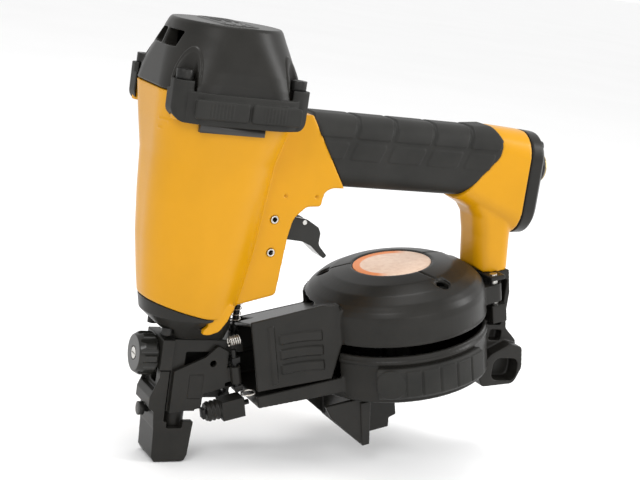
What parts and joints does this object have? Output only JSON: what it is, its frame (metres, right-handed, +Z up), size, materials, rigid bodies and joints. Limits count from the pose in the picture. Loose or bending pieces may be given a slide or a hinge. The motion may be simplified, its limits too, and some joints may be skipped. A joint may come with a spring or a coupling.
{
  "type": "pneumatic coil nailer",
  "caption": "Air-driven roofing nail gun with a round coil magazine, a handle joined to it at both ends, a trigger and a contact foot.",
  "frame": {"origin": "centre of the contact foot's working face, on the driver's axis", "axes": "+Z up along the cylinder and driver; +X towards the handle's end and the magazine; -Y the side the magazine opens to"},
  "size_m": [0.2722, 0.123, 0.262],
  "materials": {
    "casting_paint": "satin yellow enamel on a magnesium casting",
    "black_shell": "satin black",
    "rubber": "matte moulded rubber",
    "seal_rubber": "smooth",
    "moulded_plastic": "satin moulded",
    "black_steel": "black oxide",
    "bright_steel": "bright",
    "spring_steel": "drawn wire",
    "aluminium": "machined",
    "brass": "machined",
    "plate": "printed plate, blank",
    "label": "printed disc, blank"
  },
  "bodies": {
    "frame": {"air_inlet": "brass", "cap_gasket": "seal_rubber", "cap_screws": "black_steel", "centre_post": "bright_steel", "cover_hinge_pin": "bright_steel", "cylinder_sleeve": "aluminium", "depth_bracket": "black_shell", "door_hinge_pin": "black_steel", "driver_guide": "black_shell", "end_cap": "black_shell", "end_cap_screws": "black_steel", "end_cap_seal": "seal_rubber", "far_bumper": "rubber", "far_pad": "rubber", "feed_cylinder": "black_shell", "feed_plug": "bright_steel", "feed_spring": "spring_steel", "handle_grip": "rubber", "head_valve_spring": "spring_steel", "housing": "casting_paint", "latch_pin": "black_steel", "latch_ring": "spring_steel", "latch_spring": "spring_steel", "magazine_base": "black_shell", "near_bumper": "rubber", "near_pad": "rubber", "nose_mount": "black_shell", "nose_screws": "black_steel", "piston_bumper": "seal_rubber", "rear_bracket": "black_shell", "retaining_pin": "bright_steel", "side_plates": "plate", "top_cap": "black_shell", "trigger_pin": "bright_steel", "trigger_valve": "moulded_plastic", "trip_spring": "spring_steel"},
    "piston_driver": {"piston": "aluminium", "piston_ring": "seal_rubber", "driver_blade": "bright_steel"},
    "head_valve": {"head_valve": "moulded_plastic", "head_valve_seal": "seal_rubber"},
    "trigger": {"trigger": "moulded_plastic", "trigger_bridge": "bright_steel"},
    "valve_stem": {"valve_stem": "bright_steel"},
    "contact_trip": {"contact_foot": "black_shell", "guide_rivet": "black_steel", "trip_arm": "black_steel"},
    "depth_knob": {"depth_knob": "moulded_plastic", "knob_screw": "bright_steel"},
    "depth_stop": {"depth_stop": "black_steel"},
    "nose_door": {"nose_door": "black_shell"},
    "door_latch": {"door_latch": "black_shell"},
    "feed_pawl": {"feed_pawl": "aluminium"},
    "magazine_cover": {"magazine_cover": "black_shell", "cover_label": "label", "cover_screws": "black_steel"},
    "nail_platform": {"nail_platform": "moulded_plastic"},
    "shingle_guide": {"shingle_guide": "black_shell", "guide_screw": "black_steel"}
  },
  "joints": [
    {"name": "piston_stroke", "type": "slide", "parent": "frame", "child": "piston_driver", "axis": [0, 0, -1], "range_m": [0, 0.075]},
    {"name": "head_valve_lift", "type": "slide", "parent": "frame", "child": "head_valve", "axis": [0, 0, 1], "range_m": [0, 0.006], "stiffness_N_per_m": 800, "springref_m": -0.003, "deforming": ["head_valve_spring"]},
    {"name": "trigger_pull", "type": "hinge", "parent": "frame", "child": "trigger", "pos_m": [0.042, 0, 0.152], "axis": [0, -1, 0], "range_deg": [0, 12], "stiffness_Nm_per_rad": 0.6, "springref_deg": -8.59},
    {"name": "valve_stem_push", "type": "slide", "parent": "frame", "child": "valve_stem", "axis": [0, 0, 1], "range_m": [0, 0.0044]},
    {"name": "contact_trip_push", "type": "slide", "parent": "frame", "child": "contact_trip", "axis": [0, 0, 1], "range_m": [0, 0.0055], "stiffness_N_per_m": 1500, "springref_m": -0.004, "deforming": ["trip_spring"]},
    {"name": "depth_knob_turn", "type": "hinge", "parent": "frame", "child": "depth_knob", "pos_m": [-0.0164, 0, 0.064], "axis": [1, 0, 0], "range_deg": [-165, 165]},
    {"name": "depth_stop_rise", "type": "slide", "parent": "frame", "child": "depth_stop", "axis": [0, 0, 1], "range_m": [-0.0018, 0.0018]},
    {"name": "nose_door_swing", "type": "hinge", "parent": "frame", "child": "nose_door", "pos_m": [0.0315, -0.016, 0.056], "axis": [-0.2377, 0, 0.9713], "range_deg": [0, 100]},
    {"name": "door_latch_turn", "type": "hinge", "parent": "frame", "child": "door_latch", "pos_m": [0.02826, -0.0135, 0.0344], "axis": [0.9713, 0, 0.2377], "range_deg": [0, 55]},
    {"name": "feed_pawl_retract", "type": "slide", "parent": "frame", "child": "feed_pawl", "axis": [0.9713, 0, 0.2377], "range_m": [0, 0.008], "stiffness_N_per_m": 150, "springref_m": -0.01},
    {"name": "cover_swing", "type": "hinge", "parent": "frame", "child": "magazine_cover", "pos_m": [0.20205, -0.02, 0.1109], "axis": [-0.2377, 0, 0.9713], "range_deg": [0, 90]},
    {"name": "platform_height", "type": "slide", "parent": "frame", "child": "nail_platform", "axis": [-0.2377, 0, 0.9713], "range_m": [0, 0.018]},
    {"name": "shingle_guide_slide", "type": "slide", "parent": "frame", "child": "shingle_guide", "axis": [0.9713, 0, 0.2377], "range_m": [-0.004, 0.02]}
  ],
  "couplings": [
    {"joint": "valve_stem_push", "follows": "trigger_pull", "m_per_rad": 0.021},
    {"joint": "depth_stop_rise", "follows": "depth_knob_turn", "m_per_rad": 0.0006}
  ]
}
